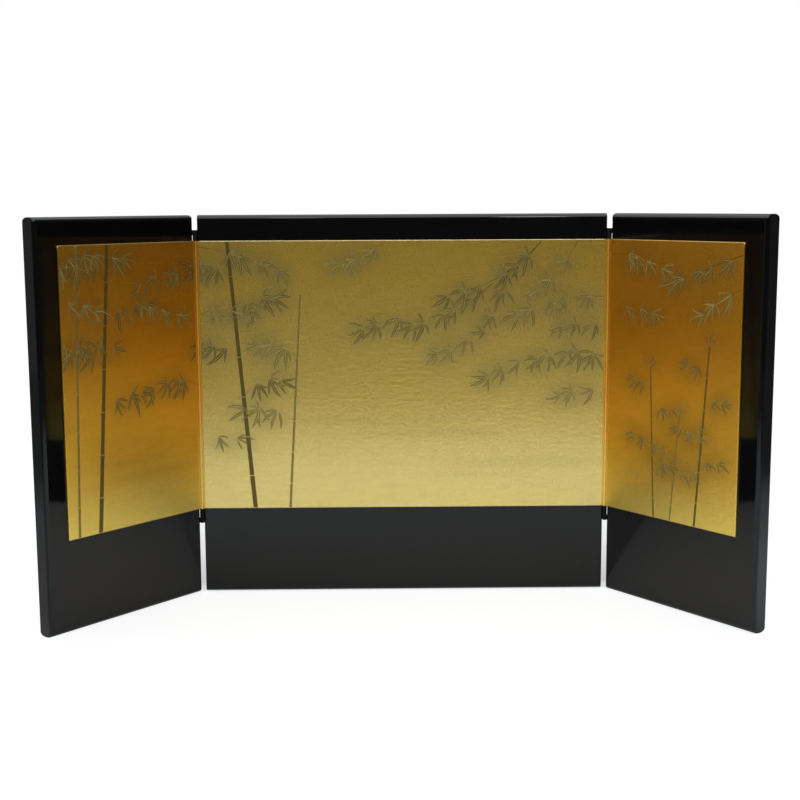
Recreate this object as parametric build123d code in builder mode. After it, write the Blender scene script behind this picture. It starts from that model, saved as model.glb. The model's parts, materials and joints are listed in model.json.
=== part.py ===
"""A three-panel folding screen: black lacquered boards with gilt picture boards, joined by cloth hinges.

Each panel is a hollow board: a doweled wooden frame with ribs between two skins, all rounded over
together along the top and bottom. A gold-papered picture board is laid on its front. A folded cloth
hinge, faced with gilt paper beside the picture boards, joins each side panel to the center one.

The origin is under the middle of the center panel, +X runs to the right and +Z up. The screen faces
-Y, and stands with both side panels folded towards the viewer.
"""

import os
from dataclasses import dataclass
from math import cos, radians, sin

from build123d import *

# ---- Driving dimensions, in millimetres and degrees ----

# The boards
center_width = 450.0
side_width = 209.0
panel_height = 424.5
panel_thickness = 18.0
skin_thickness = 2.5
# The top and bottom edges are rounded over as quarter ellipses that leave a narrow flat between them.
edge_flat = 3.0
round_over_drop = 4.5
end_radius = 2.0

# The frame inside each board
top_rail_width = 34.0
bottom_rail_width = 60.0
stile_width = 36.0
rib_width = 24.0
rib_count = 3
dowel_radius = 3.0
dowel_length = 40.0
dowel_inset = 12.0
dowel_clearance = 0.05

# The picture boards, measured on the front of each board
bottom_border = 97.0
top_border = 28.0
outer_border = 26.0
hinge_border = 1.0
picture_thickness = 2.0
gold_paper_thickness = 0.3

# The hinges: the gap between flat boards, and how far ahead of their fronts the cloth folds
hinge_gap = 3.0
pivot_forward = 2.5
cloth_thickness = 0.5
cloth_leg = 12.0
cloth_below_picture = 16.3
cloth_above_picture = 11.8
fold_clearance = 0.1
gilt_thickness = 0.25
gilt_tuck = 1.0
slit_width = 3.7
slit_below_picture = 10.4
slit_above_picture = 6.0

# How far each side panel stands folded forward from flat
left_fold = 51.1
right_fold = 53.7

# ---- Values that follow from them ----

core_thickness = panel_thickness - 2 * skin_thickness
round_over_depth = (panel_thickness - edge_flat) / 2
picture_height = panel_height - bottom_border - top_border
picture_top = panel_height - top_border
pivot_x = center_width / 2 + hinge_gap / 2
pivot_y = -panel_thickness / 2 - pivot_forward


@dataclass(frozen=True)
class Panel:
    """One board. Its frame has x along the width, y from the front face to the back, and z up."""

    name: str
    frame: Plane
    low: float
    high: float
    hinged_low: bool
    hinged_high: bool
    low_stile: str
    high_stile: str

    @property
    def width(self) -> float:
        return self.high - self.low

    def across(self, x: float, y: float, z: float) -> Plane:
        """The plane across the board with its origin at x, y, z in the board's frame."""
        origin = self.frame.from_local_coords(Vector(x, y, z))
        return Plane(origin=origin, x_dir=self.frame.y_dir, z_dir=self.frame.x_dir)

    def level(self, z: float) -> Plane:
        """The board's own plane, lifted to height z."""
        return self.frame.offset(z)


def side_frame(side: float, fold: float) -> Plane:
    """The frame of a side panel: side is -1 on the left and 1 on the right, fold is in degrees."""
    turn = radians(-side * fold)
    along = Vector(cos(turn), sin(turn), 0)
    back = Vector(-sin(turn), cos(turn), 0)
    pivot = Vector(side * pivot_x, pivot_y, 0)
    origin = pivot + along * (side * hinge_gap / 2) + back * pivot_forward
    return Plane(origin=origin, x_dir=along, z_dir=(0, 0, 1))


center = Panel(
    "center",
    Plane(origin=(0, -panel_thickness / 2, 0)),
    low=-center_width / 2,
    high=center_width / 2,
    hinged_low=True,
    hinged_high=True,
    low_stile="left_stile",
    high_stile="right_stile",
)
left = Panel(
    "left",
    side_frame(-1, left_fold),
    low=-side_width,
    high=0.0,
    hinged_low=False,
    hinged_high=True,
    low_stile="outer_stile",
    high_stile="hinge_stile",
)
right = Panel(
    "right",
    side_frame(1, right_fold),
    low=0.0,
    high=side_width,
    hinged_low=True,
    hinged_high=False,
    low_stile="hinge_stile",
    high_stile="outer_stile",
)
panels = (center, left, right)


def save(piece: BuildPart, name: str) -> None:
    """Labels a finished piece and writes it as a STEP file."""
    piece.part.label = name
    export_step(piece.part, f"parts/{name}.step")


# ---- The boards ----


def rounded_board(panel: Panel) -> Part:
    """The whole outer form of a board in its own frame, which its pieces are cut to."""
    depth, drop = round_over_depth, round_over_drop
    back, top = panel_thickness, panel_height
    with BuildPart() as board:
        with BuildSketch(Plane.YZ.offset(panel.low)):
            with BuildLine():
                Line((depth, 0), (back - depth, 0))
                EllipticalCenterArc((back - depth, drop), depth, drop, start_angle=-90)
                Line((back, drop), (back, top - drop))
                EllipticalCenterArc((back - depth, top - drop), depth, drop, start_angle=0)
                Line((back - depth, top), (depth, top))
                EllipticalCenterArc((depth, top - drop), depth, drop, start_angle=90)
                Line((0, top - drop), (0, drop))
                EllipticalCenterArc((depth, drop), depth, drop, start_angle=180)
            make_face()
        extrude(amount=panel.width)
        fillet(board.faces().filter_by(Axis.X).edges(), radius=end_radius)
    return board.part


def dowel_heights() -> list[float]:
    """The heights of the dowels in each stile, two to a joint."""
    low = (dowel_inset, bottom_rail_width - dowel_inset)
    high = (panel_height - top_rail_width + dowel_inset, panel_height - dowel_inset)
    return [*low, *high]


def dowel_planes(panel: Panel) -> list[Plane]:
    """The plane across the board where each dowel starts, with its origin on the dowel's axis."""
    starts = (panel.low + stile_width - dowel_length / 2, panel.high - stile_width - dowel_length / 2)
    return [panel.across(x, panel_thickness / 2, z) for x in starts for z in dowel_heights()]


def frame_member(panel: Panel, board: Part, x: tuple, z: tuple) -> BuildPart:
    """A rail or stile between the two skins, from x[0] to x[1] and z[0] to z[1], drilled for its dowels."""
    with BuildPart(panel.frame) as member:
        with Locations((x[0], skin_thickness, z[0])):
            Box(x[1] - x[0], core_thickness, z[1] - z[0], align=Align.MIN)
        add(board, mode=Mode.INTERSECT)
        with BuildSketch(*dowel_planes(panel)):
            Circle(dowel_radius + dowel_clearance)
        extrude(amount=dowel_length, mode=Mode.SUBTRACT)
    return member


def make_frame(panel: Panel, board: Part) -> None:
    """The rails, stiles, ribs and dowels inside a board."""
    inner_low = panel.low + stile_width
    inner_high = panel.high - stile_width
    rail_top = panel_height - top_rail_width
    members = {
        "bottom_rail": ((inner_low, inner_high), (0, bottom_rail_width)),
        "top_rail": ((inner_low, inner_high), (rail_top, panel_height)),
        panel.low_stile: ((panel.low, inner_low), (0, panel_height)),
        panel.high_stile: ((inner_high, panel.high), (0, panel_height)),
    }
    for name, (x, z) in members.items():
        save(frame_member(panel, board, x, z), f"{panel.name}_{name}")

    bay = (rail_top - bottom_rail_width) / (rib_count + 1)
    middles = [bottom_rail_width + bay * (i + 1) for i in range(rib_count)]
    with BuildPart(panel.frame) as ribs:
        with Locations(*[((inner_low + inner_high) / 2, panel_thickness / 2, z) for z in middles]):
            Box(inner_high - inner_low, core_thickness, rib_width)
    save(ribs, f"{panel.name}_ribs")

    with BuildPart() as dowels:
        with BuildSketch(*dowel_planes(panel)):
            Circle(dowel_radius)
        extrude(amount=dowel_length)
    save(dowels, f"{panel.name}_dowels")


def make_skin(panel: Panel, board: Part, front: float, name: str) -> None:
    """One of the two thin boards that close the frame, with its front face at y = front."""
    with BuildPart(panel.frame) as skin:
        with Locations((panel.low, front, 0)):
            Box(panel.width, skin_thickness, panel_height, align=Align.MIN)
        add(board, mode=Mode.INTERSECT)
    save(skin, name)


# ---- The picture boards ----


def picture_span(panel: Panel) -> tuple[float, float]:
    """The lowest and highest x of a panel's picture."""
    low = panel.low + (hinge_border if panel.hinged_low else outer_border)
    high = panel.high - (hinge_border if panel.hinged_high else outer_border)
    return low, high


def make_picture(panel: Panel) -> None:
    """The thin board on a panel's front, and the gold paper that wraps its face and edges."""
    low, high = picture_span(panel)
    middle = ((low + high) / 2, 0, bottom_border + picture_height / 2)
    wrap = 2 * gold_paper_thickness
    lying = (Align.CENTER, Align.MAX, Align.CENTER)
    core = (high - low - wrap, picture_thickness - gold_paper_thickness, picture_height - wrap)

    with BuildPart(panel.frame) as picture_board:
        with Locations(middle):
            Box(*core, align=lying)
    save(picture_board, f"{panel.name}_picture_board")

    with BuildPart(panel.frame) as paper:
        with Locations(middle):
            Box(high - low, picture_thickness, picture_height, align=lying)
            Box(*core, align=lying, mode=Mode.SUBTRACT)
    save(paper, f"{panel.name}_gold_paper")


# ---- The hinges ----


def hinge_web(v: float, outward: float) -> float:
    """How far the outer face of a hinge's cloth stands off the board's end, v behind the front face."""
    tip = hinge_gap / 2 - fold_clearance - cloth_thickness
    run = end_radius + pivot_forward - fold_clearance
    return outward * tip * (end_radius - v) / run


def make_hinge_half(panel: Panel, end: float, outward: float, slit: bool, name: str) -> None:
    """One panel's half of a hinge, up to the fold: the cloth, and the gilt paper on it.

    The cloth is glued down the board's end, then leans out to the fold in front of the gap. A side
    panel's half is slit beside the board, just above and below the gilt paper.
    """
    thick = outward * cloth_thickness
    fold = -pivot_forward + fold_clearance
    leg_end = end_radius + cloth_leg
    cloth_bottom = bottom_border - cloth_below_picture
    cloth_height = cloth_below_picture + picture_height + cloth_above_picture
    with BuildPart() as cloth:
        with BuildSketch(panel.level(cloth_bottom)):
            with BuildLine():
                Polyline(
                    (end, leg_end),
                    (end + thick, leg_end),
                    (end + thick, end_radius),
                    (end + thick + hinge_web(fold, outward), fold),
                    (end + hinge_web(fold, outward), fold),
                    (end, end_radius),
                    close=True,
                )
            make_face()
        extrude(amount=cloth_height)
        if slit:
            slit_middle = end_radius + cloth_thickness - slit_width / 2
            below = (bottom_border - slit_below_picture, slit_below_picture)
            above = (picture_top, slit_above_picture)
            for low, height in (below, above):
                with BuildSketch(panel.level(low)):
                    with Locations((end + outward * hinge_gap / 4, slit_middle)):
                        Rectangle(hinge_gap, slit_width)
                extrude(amount=height, mode=Mode.SUBTRACT)
    save(cloth, f"{name}_cloth")

    facing = outward * gilt_thickness
    with BuildPart() as gilt:
        with BuildSketch(panel.level(bottom_border)):
            with BuildLine():
                Polyline(
                    (end + hinge_web(gilt_tuck, outward), gilt_tuck),
                    (end + hinge_web(fold, outward), fold),
                    (end + hinge_web(fold, outward) - facing, fold),
                    (end + hinge_web(gilt_tuck, outward) - facing, gilt_tuck),
                    close=True,
                )
            make_face()
        extrude(amount=picture_height)
    save(gilt, f"{name}_gilt")


# ---- The whole screen ----

os.makedirs("parts", exist_ok=True)

for panel in panels:
    board = rounded_board(panel)
    make_frame(panel, board)
    make_skin(panel, board, 0, f"{panel.name}_front_skin")
    make_skin(panel, board, panel_thickness - skin_thickness, f"{panel.name}_back_skin")
    make_picture(panel)

make_hinge_half(center, center.low, -1, False, "left_hinge_center")
make_hinge_half(center, center.high, 1, False, "right_hinge_center")
make_hinge_half(left, left.high, 1, True, "left_hinge_side")
make_hinge_half(right, right.low, -1, True, "right_hinge_side")
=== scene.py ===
"""Dresses a folding screen: lacquered boards, gilt picture boards, cloth hinges and a painted design.

Lengths in the classes are in millimetres and angles in degrees, unless a docstring says otherwise.
Meshes are made in metres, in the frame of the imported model.
"""

from __future__ import annotations

import json
import logging
import math
import random
from dataclasses import dataclass, field
from enum import Enum
from typing import Callable, Iterable, NamedTuple, Sequence

import bmesh
import bpy
import numpy as np
from mathutils import Matrix, Vector

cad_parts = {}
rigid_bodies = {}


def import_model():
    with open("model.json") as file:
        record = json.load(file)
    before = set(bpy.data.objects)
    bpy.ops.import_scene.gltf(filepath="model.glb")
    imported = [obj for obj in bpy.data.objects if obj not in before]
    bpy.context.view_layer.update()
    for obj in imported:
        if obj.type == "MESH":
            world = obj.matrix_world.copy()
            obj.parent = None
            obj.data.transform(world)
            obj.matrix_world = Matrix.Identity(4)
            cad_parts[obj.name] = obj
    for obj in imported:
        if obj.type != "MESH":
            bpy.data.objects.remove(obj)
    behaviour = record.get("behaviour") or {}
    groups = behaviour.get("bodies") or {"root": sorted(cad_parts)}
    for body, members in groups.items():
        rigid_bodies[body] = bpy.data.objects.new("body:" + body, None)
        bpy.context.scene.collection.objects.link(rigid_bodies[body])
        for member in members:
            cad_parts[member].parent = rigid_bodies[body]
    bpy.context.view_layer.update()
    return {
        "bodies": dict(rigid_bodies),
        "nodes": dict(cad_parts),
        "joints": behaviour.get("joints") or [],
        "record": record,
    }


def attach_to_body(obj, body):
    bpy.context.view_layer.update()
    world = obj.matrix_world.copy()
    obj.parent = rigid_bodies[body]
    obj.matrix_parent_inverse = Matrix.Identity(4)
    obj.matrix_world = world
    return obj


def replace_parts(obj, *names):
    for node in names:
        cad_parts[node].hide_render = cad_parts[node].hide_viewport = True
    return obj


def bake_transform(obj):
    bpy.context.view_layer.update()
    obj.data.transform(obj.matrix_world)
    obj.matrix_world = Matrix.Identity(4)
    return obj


LOG = logging.getLogger("folding_screen")
MM = 0.001

Material = bpy.types.Material
Mesh = bpy.types.Mesh
Node = bpy.types.Node
Obj = bpy.types.Object
Socket = bpy.types.NodeSocket
Tree = bpy.types.NodeTree

Pair = tuple[float, float]
Triple = tuple[float, float, float]
Rgba = tuple[float, float, float, float]
Cells = frozenset[tuple[int, int]]

BLACK: Rgba = (0.0, 0.0, 0.0, 1.0)
WHITE: Rgba = (1.0, 1.0, 1.0, 1.0)
UNIT: Pair = (0.0, 1.0)


# ---- Sizes and places ----


class Side(Enum):
    """Which board of the screen."""

    LEFT = "left"
    CENTER = "center"
    RIGHT = "right"

    @property
    def sign(self) -> int:
        """-1 on the left, 0 in the middle and 1 on the right."""
        return {"left": -1, "center": 0, "right": 1}[self.value]

    @property
    def body(self) -> str:
        """The body that this board's pieces ride on."""
        return f"{self.value}_panel"


@dataclass(frozen=True)
class ScreenSizes:
    """The sizes of the screen, as its solids have them."""

    center_width: float = 450.0
    side_width: float = 209.0
    height: float = 424.5
    thickness: float = 18.0
    edge_flat: float = 3.0
    round_drop: float = 4.5
    picture_low: float = 97.0
    picture_high: float = 396.5
    picture_thickness: float = 2.0
    outer_border: float = 26.0
    hinge_border: float = 1.0
    hinge_gap: float = 3.0
    pivot_forward: float = 2.5
    fully_shut: float = 180.0

    @property
    def unfolded_step(self) -> float:
        """How far a side board's hinged end lies from the middle when the screen is flat."""
        return self.center_width / 2 + self.hinge_gap


@dataclass(frozen=True)
class Board:
    """Where one board stands. Its own axes are x along the width, y from front to back, and z up."""

    side: Side
    low: float
    high: float
    matrix: Matrix

    @classmethod
    def of(cls, side: Side, sizes: ScreenSizes, joints: Sequence[dict]) -> Board:
        """Places a board by the screen's sizes and joints.

        Args:
            side: Which board.
            sizes: The screen's sizes.
            joints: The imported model's joints, whose upper limits are fully shut.

        Returns:
            The board, with its matrix from its own axes in metres to the model's.
        """
        if side is Side.CENTER:
            place = Matrix.Translation((0, -sizes.thickness / 2 * MM, 0))
            return cls(side, -sizes.center_width / 2, sizes.center_width / 2, place)
        joint = next(j for j in joints if j["child"] == side.body)
        fold = math.radians(sizes.fully_shut - joint["range_deg"][1])
        pivot = Matrix.Translation(Vector(joint["pos_m"]))
        turn = Matrix.Rotation(-side.sign * fold, 4, "Z")
        step = Matrix.Translation((side.sign * sizes.hinge_gap / 2 * MM, sizes.pivot_forward * MM, 0))
        low, high = (0.0, sizes.side_width) if side is Side.RIGHT else (-sizes.side_width, 0.0)
        return cls(side, low, high, pivot @ turn @ step)

    def picture_span(self, sizes: ScreenSizes) -> Pair:
        """Says how far along the board its picture lies.

        Args:
            sizes: The screen's sizes.

        Returns:
            The picture's lowest and highest x.
        """
        low = sizes.outer_border if self.side is Side.LEFT else sizes.hinge_border
        high = sizes.outer_border if self.side is Side.RIGHT else sizes.hinge_border
        return self.low + low, self.high - high

    def unfolded(self, x: float, sizes: ScreenSizes) -> float:
        """The distance of x from the screen's middle when the screen is flat."""
        return x + self.side.sign * sizes.unfolded_step

    def unfolded_span(self, sizes: ScreenSizes) -> Pair:
        """The picture's span, measured from the screen's middle when the screen is flat."""
        low, high = self.picture_span(sizes)
        return self.unfolded(low, sizes), self.unfolded(high, sizes)


# ---- Mesh making ----


def to_scene(name: str, data: bpy.types.ID) -> Obj:
    """Makes an object of some data, at the origin.

    Args:
        name: The object's name.
        data: Its mesh, camera or light.

    Returns:
        The object, which is in the scene.
    """
    obj = bpy.data.objects.new(name, data)
    bpy.context.scene.collection.objects.link(obj)
    return obj


def made_plain(draft: Obj) -> Mesh:
    """Turns an object with modifiers into a plain mesh.

    Args:
        draft: The object, which is removed.

    Returns:
        The mesh.
    """
    evaluated = draft.evaluated_get(bpy.context.evaluated_depsgraph_get())
    mesh = bpy.data.meshes.new_from_object(evaluated)
    bpy.data.objects.remove(draft)
    return mesh


@dataclass
class MeshDraft:
    """A mesh being built in millimetres, each vertex with its exact normal."""

    points: list[Triple] = field(default_factory=list)
    normals: list[Triple] = field(default_factory=list)
    faces: list[tuple[int, ...]] = field(default_factory=list)

    def add_loop(self, points: Iterable[Triple], normals: Iterable[Triple]) -> range:
        """Adds a row of vertices.

        Args:
            points: Their places.
            normals: Their normals.

        Returns:
            Their indices.
        """
        first = len(self.points)
        self.points.extend(points)
        self.normals.extend(normals)
        return range(first, len(self.points))

    def bridge(self, a: Sequence[int], b: Sequence[int]) -> None:
        """Joins two closed loops with quads.

        Args:
            a: The first loop's vertices.
            b: The second loop's vertices, as many as the first has.
        """
        count = len(a)
        for i in range(count):
            j = (i + 1) % count
            self.faces.append((a[i], a[j], b[j], b[i]))

    def finish(self, name: str, matrix: Matrix) -> Obj:
        """Makes the object.

        Args:
            name: The piece's name.
            matrix: From the draft's axes, in metres, to the model's.

        Returns:
            An object at the origin whose mesh is in place.
        """
        mesh = bpy.data.meshes.new(name)
        mesh.from_pydata([tuple(c * MM for c in p) for p in self.points], [], self.faces)
        mesh.polygons.foreach_set("use_smooth", [True] * len(mesh.polygons))
        mesh.transform(matrix)
        turn = matrix.to_3x3()
        mesh.normals_split_custom_set_from_vertices([turn @ Vector(n).normalized() for n in self.normals])
        return to_scene(name, mesh)


def store(mesh: Mesh, name: str, values: np.ndarray) -> None:
    """Writes a named attribute.

    Args:
        mesh: The mesh.
        name: The attribute's name.
        values: For each vertex a whole number, a number or a vector.
    """
    whole = values.dtype.kind == "i"
    kind, key = ("INT" if whole else "FLOAT", "value") if values.ndim == 1 else ("FLOAT_VECTOR", "vector")
    layer = mesh.attributes.new(name, kind, "POINT")
    layer.data.foreach_set(key, values.astype(np.int32 if whole else np.float32).ravel())


def vertices(mesh: Mesh, matrix: Matrix) -> np.ndarray:
    """Reads a mesh's vertices in a board's own axes.

    Args:
        mesh: The mesh, in the model's frame.
        matrix: From the board's axes to the model's, in metres.

    Returns:
        One row for each vertex, in millimetres.
    """
    co = np.zeros(len(mesh.vertices) * 3)
    mesh.vertices.foreach_get("co", co)
    back = np.array(matrix.inverted())
    return (co.reshape(-1, 3) @ back[:3, :3].T + back[:3, 3]) / MM


def attach(obj: Obj, body: str, material: Material) -> Obj:
    """Dresses a finished piece and makes it ride on a body.

    Args:
        obj: The piece.
        body: The body's name.
        material: The piece's finish.

    Returns:
        The piece.
    """
    obj.data.materials.clear()
    obj.data.materials.append(material)
    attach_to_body(obj, body)
    LOG.info("%s rides on %s, %d faces", obj.name, body, len(obj.data.polygons))
    return obj


# ---- Node wiring ----


def rgba(color: Triple, by: float = 1.0) -> Rgba:
    """A colour with full opacity, made lighter or darker by a factor."""
    return (*(c * by for c in color), 1.0)


@dataclass
class Wiring:
    """A node tree that is being wired up."""

    tree: Tree

    def feed(self, socket: Socket, value: object) -> None:
        """Links an input to the output that feeds it, or sets its constant.

        Args:
            socket: The input.
            value: An output or a constant.
        """
        if isinstance(value, Socket):
            self.tree.links.new(value, socket)
        else:
            socket.default_value = value

    def add(self, kind: str, inputs: dict | None = None, **settings: object) -> Node:
        """Adds a node.

        Args:
            kind: The node's type, by its full name in Blender.
            inputs: For each input, by name or index, a constant or the output that feeds it.
            settings: The node's own properties.

        Returns:
            The node.
        """
        node = self.tree.nodes.new(kind)
        for key, value in settings.items():
            setattr(node, key, value)
        for key, value in (inputs or {}).items():
            self.feed(node.inputs[key], value)
        return node

    def out(self, kind: str, inputs: dict | None = None, **settings: object) -> Socket:
        """Adds a node, as add does, and returns its first output."""
        return self.add(kind, inputs, **settings).outputs[0]

    def math(self, operation: str, *values: float | Socket, clamp: bool = False) -> Socket:
        """Adds a Math node and returns its result."""
        return self.out("ShaderNodeMath", dict(enumerate(values)), operation=operation, use_clamp=clamp)

    def times(self, a: float | Socket, b: float | Socket) -> Socket:
        """Multiplies two values."""
        return self.math("MULTIPLY", a, b)

    def remap(self, value: Socket, old: Pair, new: tuple, smooth: bool = False) -> Socket:
        """Adds a Map Range node.

        Args:
            value: The value to map.
            old: The range that it is mapped from.
            new: The range that it is mapped to.
            smooth: Whether it eases in and out at the ends.

        Returns:
            The mapped value.
        """
        kind = "SMOOTHSTEP" if smooth else "LINEAR"
        ends = {"From Min": old[0], "From Max": old[1], "To Min": new[0], "To Max": new[1]}
        return self.out("ShaderNodeMapRange", {"Value": value, **ends}, interpolation_type=kind)

    def mix(self, factor: float | Socket, a: object, b: object) -> Socket:
        """Adds a colour Mix node and returns its colour."""
        return self.add("ShaderNodeMix", {0: factor, 6: a, 7: b}, data_type="RGBA").outputs[2]

    def split(self, vector: Socket) -> bpy.types.NodeOutputs:
        """Adds a Separate XYZ node and returns its outputs, by name X, Y and Z."""
        return self.add("ShaderNodeSeparateXYZ", {0: vector}).outputs

    def join(self, x: float | Socket, y: float | Socket, z: float | Socket) -> Socket:
        """Adds a Combine XYZ node and returns its vector."""
        return self.out("ShaderNodeCombineXYZ", {0: x, 1: y, 2: z})


class SurfaceGrain:
    """A shader group that several finishes share: stretched noise as a value."""

    NAME = "surface_grain"
    NOISE_SPAN = (0.25, 0.75)

    @classmethod
    def tree(cls) -> Tree:
        """Builds the group once.

        Returns:
            The group.
        """
        if cls.NAME in bpy.data.node_groups:
            return bpy.data.node_groups[cls.NAME]
        tree = bpy.data.node_groups.new(cls.NAME, "ShaderNodeTree")
        face = tree.interface
        face.new_socket("Vector", in_out="INPUT", socket_type="NodeSocketVector")
        face.new_socket("Stretch", in_out="INPUT", socket_type="NodeSocketVector")
        for name, value in (("Detail", 3.0), ("Roughness", 0.5), ("Low", 0.0), ("High", 1.0)):
            socket = face.new_socket(name, in_out="INPUT", socket_type="NodeSocketFloat")
            socket.default_value = value
        face.new_socket("Value", in_out="OUTPUT", socket_type="NodeSocketFloat")
        ins = tree.nodes.new("NodeGroupInput").outputs
        wiring = Wiring(tree)
        scaled = {0: ins["Vector"], 1: ins["Stretch"]}
        place = wiring.out("ShaderNodeVectorMath", scaled, operation="MULTIPLY")
        inputs = {"Vector": place, "Scale": 1.0, "Detail": ins["Detail"], "Roughness": ins["Roughness"]}
        noise = wiring.out("ShaderNodeTexNoise", inputs)
        value = wiring.remap(noise, cls.NOISE_SPAN, (ins["Low"], ins["High"]))
        wiring.add("NodeGroupOutput", {"Value": value})
        return tree


@dataclass
class MaterialDraft(Wiring):
    """A material that is being built on one Principled shader."""

    material: Material
    shader: Node

    @classmethod
    def of(cls, name: str) -> MaterialDraft:
        """Starts a material.

        Args:
            name: The material's name.

        Returns:
            The draft, with the shader at its output.
        """
        material = bpy.data.materials.new(name)
        material.use_nodes = True
        tree = material.node_tree
        tree.nodes.clear()
        draft = cls(tree, material, tree.nodes.new("ShaderNodeBsdfPrincipled"))
        draft.add("ShaderNodeOutputMaterial", {"Surface": draft.shader.outputs[0]})
        return draft

    def place(self) -> Socket:
        """The object's own coordinates, in metres."""
        return self.tree.nodes.new("ShaderNodeTexCoord").outputs["Object"]

    def attribute(self, name: str, output: str = "Fac") -> Socket:
        """Reads a named attribute of the piece, as a number or by the output's name."""
        return self.add("ShaderNodeAttribute", attribute_name=name, attribute_type="GEOMETRY").outputs[output]

    def grain(
        self, place: Socket, scale: float | Triple, low: float = 0.0, high: float = 1.0, detail: float = 3.0
    ) -> Socket:
        """Places the shared grain group.

        Args:
            place: The coordinates, in metres.
            scale: How many grains go into a metre, the same all round or along each axis.
            low: The value at the grain's lows.
            high: The value at its highs.
            detail: How many finer octaves it has.

        Returns:
            The grain's value.
        """
        scale = (scale,) * 3 if isinstance(scale, float) else scale
        inputs = {"Vector": place, "Stretch": scale, "Low": low, "High": high, "Detail": detail}
        return self.out("ShaderNodeGroup", inputs, node_tree=SurfaceGrain.tree())

    def bump(self, height: Socket, distance: float, normal: Socket | None = None) -> Socket:
        """Adds a Bump node, over the normal of a relief below it if given, and returns the new normal."""
        inputs = {"Height": height, "Distance": distance * MM, "Strength": 1.0}
        return self.out("ShaderNodeBump", inputs if normal is None else {**inputs, "Normal": normal})

    def wire(self, **inputs: object) -> Material:
        """Sets or feeds the shader's inputs.

        Args:
            inputs: The inputs by name, with an underscore for a space.

        Returns:
            The finished material.
        """
        for key, value in inputs.items():
            self.feed(self.shader.inputs[key.replace("_", " ")], value)
        return self.material


# ---- Finishes ----


@dataclass(frozen=True)
class LacquerFinish:
    """Polished black lacquer: nearly a mirror, with the faintest unevenness and a little dust haze."""

    name: str = "black_lacquer"
    color: Triple = (0.0024, 0.0024, 0.0027)
    gloss: Pair = (0.035, 0.07)
    ior: float = 1.44
    ripple: float = 0.0009
    tone: Pair = (0.7, 1.3)
    haze_scale: float = 9.0
    tone_scale: float = 14.0
    ripple_scale: float = 85.0

    def material(self) -> Material:
        """Builds the finish.

        Returns:
            The material.
        """
        draft = MaterialDraft.of(self.name)
        place = draft.place()
        haze = draft.grain(place, self.haze_scale, *self.gloss, detail=5.0)
        tone = draft.grain(place, self.tone_scale, *self.tone, detail=2.0)
        base = draft.mix(tone, BLACK, rgba(self.color))
        ripple = draft.grain(place, self.ripple_scale, detail=1.0)
        relief = draft.bump(ripple, self.ripple)
        return draft.wire(Base_Color=base, Roughness=haze, IOR=self.ior, Normal=relief)


@dataclass(frozen=True)
class GoldFinish:
    """Gold leaf on fine, softly crinkled paper under painted washes, with painted shade: darker and warmer
    towards the top.
    """

    name: str
    pale: Triple = (1.0, 0.80, 0.28)
    amber: Triple = (0.79, 0.555, 0.125)
    shaded_top: Triple = (0.87, 0.56, 0.092)
    wash: Triple = (0.40, 0.34, 0.125)
    edge_tone: Triple = (0.62, 0.56, 0.38)
    shade_low_span: Pair = (0.128, 0.25)
    shade_high_span: Pair = (0.26, 0.38)
    gloss: Pair = (0.18, 0.52)
    crinkle: float = 0.078
    swell: float = 0.025
    edge_tone_share: float = 0.75
    edge_matte: float = 0.2
    leaf_tone: Pair = (0.94, 1.04)
    leaf_scale: Triple = (40.0, 160.0, 1.0)
    gloss_scale: Triple = (1100.0, 1900.0, 1.0)
    crinkle_scale: Triple = (220.0, 260.0, 1.0)
    swell_scale: Triple = (70.0, 260.0, 1.0)

    def material(self) -> Material:
        """Builds the finish.

        Returns:
            The material, which reads the attributes sheet, wash and rim.
        """
        draft = MaterialDraft.of(self.name)
        sheet = draft.attribute("sheet", "Vector")
        height = draft.split(sheet)["Y"]
        # Painted light and shade: the colour is paler low down, where the leaf mirrors the bright floor, and
        # darker and warmer towards the top, where it mirrors the dark room.
        low = draft.remap(height, self.shade_low_span, UNIT, smooth=True)
        high = draft.remap(height, self.shade_high_span, UNIT, smooth=True)
        tone = draft.mix(high, draft.mix(low, rgba(self.pale), rgba(self.amber)), rgba(self.shaded_top))
        leaf = draft.grain(sheet, self.leaf_scale, *self.leaf_tone, detail=4.0)
        color = draft.mix(draft.attribute("wash"), draft.mix(leaf, BLACK, tone), rgba(self.wash))
        # The top and bottom edges are paler and more matte, which whitens and dulls the lamps' highlights
        # along them.
        rim = draft.attribute("rim")
        color = draft.mix(draft.times(rim, self.edge_tone_share), color, rgba(self.edge_tone))
        gloss = draft.grain(sheet, self.gloss_scale, *self.gloss, detail=1.0)
        gloss = draft.math("MULTIPLY_ADD", rim, self.edge_matte, gloss)
        crinkle = draft.grain(sheet, self.crinkle_scale, detail=1.5)
        swell = draft.grain(sheet, self.swell_scale, detail=1.0)
        relief = draft.bump(crinkle, self.crinkle, draft.bump(swell, self.swell))
        return draft.wire(Base_Color=color, Metallic=1.0, Roughness=gloss, Normal=relief)


@dataclass(frozen=True)
class ClothFinish:
    """Black woven tape."""

    name: str = "hinge_tape"
    color: Triple = (0.005, 0.005, 0.0055)
    tone: Pair = (0.55, 1.5)
    gloss: Pair = (0.72, 0.92)
    ior: float = 1.3
    threads_per_metre: float = 1600.0
    thread_relief: float = 0.08

    def material(self) -> Material:
        """Builds the finish.

        Returns:
            The material, which reads the attribute sheet.
        """
        draft = MaterialDraft.of(self.name)
        place = draft.split(draft.attribute("sheet", "Vector"))
        pace = self.threads_per_metre * math.tau
        across, along = (draft.math("SINE", draft.times(place[axis], pace)) for axis in "XY")
        weave = draft.math("MULTIPLY_ADD", draft.times(across, along), 0.5, 0.5)
        tone = draft.mix(weave, *(rgba(self.color, by) for by in self.tone))
        rough = draft.remap(weave, UNIT, self.gloss)
        relief = draft.bump(weave, self.thread_relief)
        return draft.wire(Base_Color=tone, Roughness=rough, IOR=self.ior, Normal=relief)


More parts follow.
